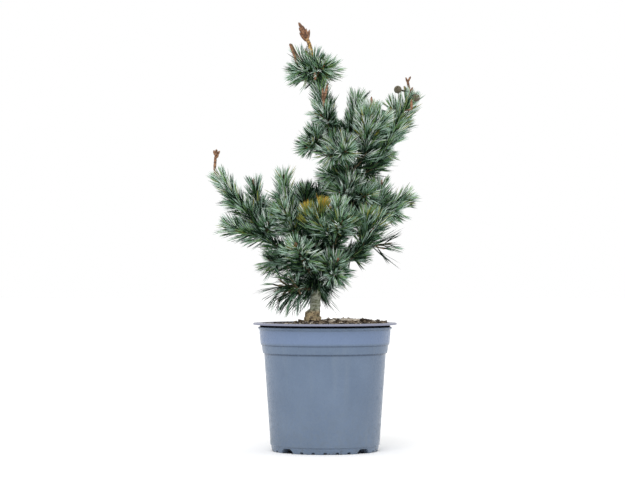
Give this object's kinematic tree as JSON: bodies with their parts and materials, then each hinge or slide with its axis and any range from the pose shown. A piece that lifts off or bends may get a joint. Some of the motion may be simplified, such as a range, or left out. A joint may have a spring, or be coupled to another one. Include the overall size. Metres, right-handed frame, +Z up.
{
  "type": "potted five-needle pine tree",
  "caption": "Young grafted five-needle pine with bent trunk, side boughs and upright needle shoots, standing in a round nursery pot of bark chips.",
  "frame": {"origin": "centre of the pot's flat underside, on the surface that it stands on", "axes": "+Z up along the pot's axis; the front seen in the picture looks along -Y, and +X is to its right"},
  "size_m": [0.3586, 0.24, 0.7186],
  "materials": {
    "pot": "moulded, matte blue grey",
    "bark_chips": "loose composted bark chips, damp and brown",
    "bark": "young grey-green to brown bark, ringed and scaly at the foot",
    "needles": "blue-green needles with pale inner faces",
    "yellow_needles": "yellow-olive needles"
  },
  "bodies": {
    "root": {"bough_back_left": "bark", "bough_back_mid": "bark", "bough_back_right": "bark", "bough_back_upper": "bark", "bough_centre_front": "bark", "bough_centre_upper": "bark", "bough_front_left": "bark", "bough_front_low": "bark", "bough_front_right": "bark", "bough_left_back": "bark", "bough_left_inner": "bark", "bough_left_outer": "bark", "bough_left_upper": "bark", "bough_low_back": "bark", "bough_low_left": "bark", "bough_right_back": "bark", "bough_right_inner": "bark", "bough_right_low": "bark", "bough_right_mid": "bark", "bough_right_upper": "bark", "bough_yellow": "bark", "mass_back_left": "needles", "mass_back_mid": "needles", "mass_back_right": "needles", "mass_back_upper": "needles", "mass_centre_front": "needles", "mass_centre_upper": "needles", "mass_front_left": "needles", "mass_front_low": "needles", "mass_front_right": "needles", "mass_front_upper": "needles", "mass_left_back": "needles", "mass_left_inner": "needles", "mass_left_outer": "needles", "mass_left_upper": "needles", "mass_low_back": "needles", "mass_low_left": "needles", "mass_neck_back": "needles", "mass_neck_front": "needles", "mass_neck_left": "needles", "mass_right_back": "needles", "mass_right_inner": "needles", "mass_right_low": "needles", "mass_right_mid": "needles", "mass_right_upper": "needles", "mass_top": "needles", "mass_trunk_front": "needles", "mass_trunk_left": "needles", "mass_trunk_right": "needles", "mass_yellow": "yellow_needles", "pot": "pot", "soil": "bark_chips", "trunk": "bark"}
  },
  "joints": []
}
